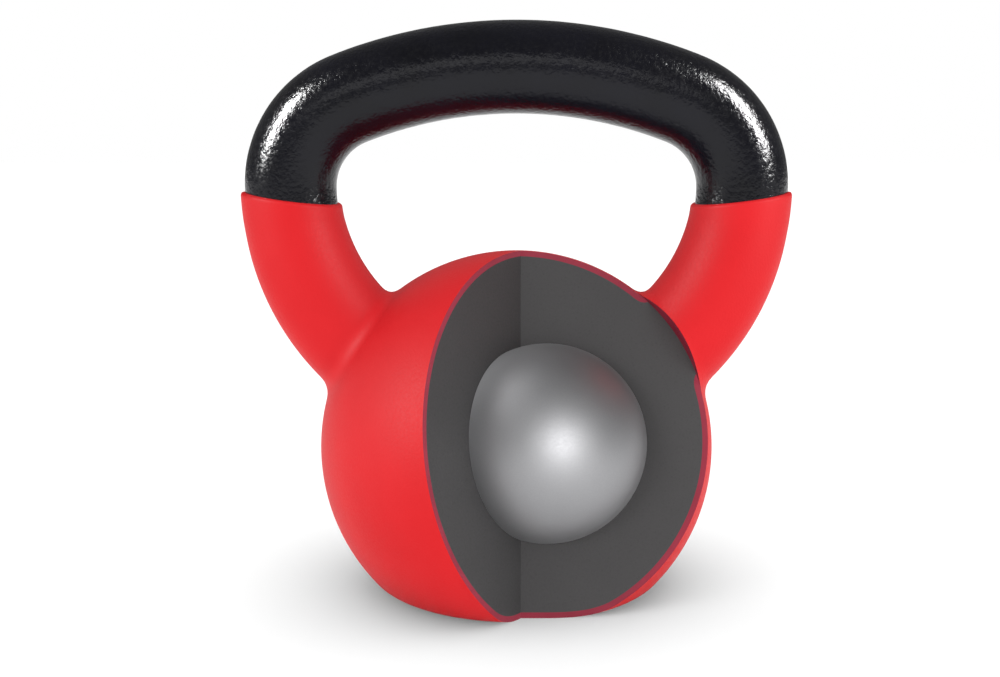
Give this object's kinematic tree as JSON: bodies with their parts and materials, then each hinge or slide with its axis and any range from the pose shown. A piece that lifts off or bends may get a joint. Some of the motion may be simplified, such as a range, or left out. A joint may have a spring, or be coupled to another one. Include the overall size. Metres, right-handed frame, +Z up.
{
  "type": "kettlebell",
  "caption": "Kettlebell with round bell, flared horns and arched handle, shown as a cutaway: a wedge of the bell is out to show the iron and an inset steel ball.",
  "frame": {"origin": "centre of the bell's flat base, on the floor", "axes": "+Z up, X along the handle, and the cut wedge opens towards -Y and +X"},
  "size_m": [0.1928, 0.1346, 0.2],
  "materials": {
    "iron": "sawn and ground flat on the section faces, as cast under the coats",
    "core_steel": "satin ground ball",
    "vinyl": "satin red dipped vinyl with a fine pebble",
    "enamel": "gloss black baked enamel over sand-cast iron",
    "chaplet_steel": "mild steel, fused into the iron"
  },
  "bodies": {
    "root": {"iron_casting": "iron", "core_ball": "core_steel", "vinyl_coat": "vinyl", "handle_enamel": "enamel", "chaplet_top": "chaplet_steel", "chaplet_left": "chaplet_steel", "chaplet_right": "chaplet_steel"}
  },
  "joints": []
}
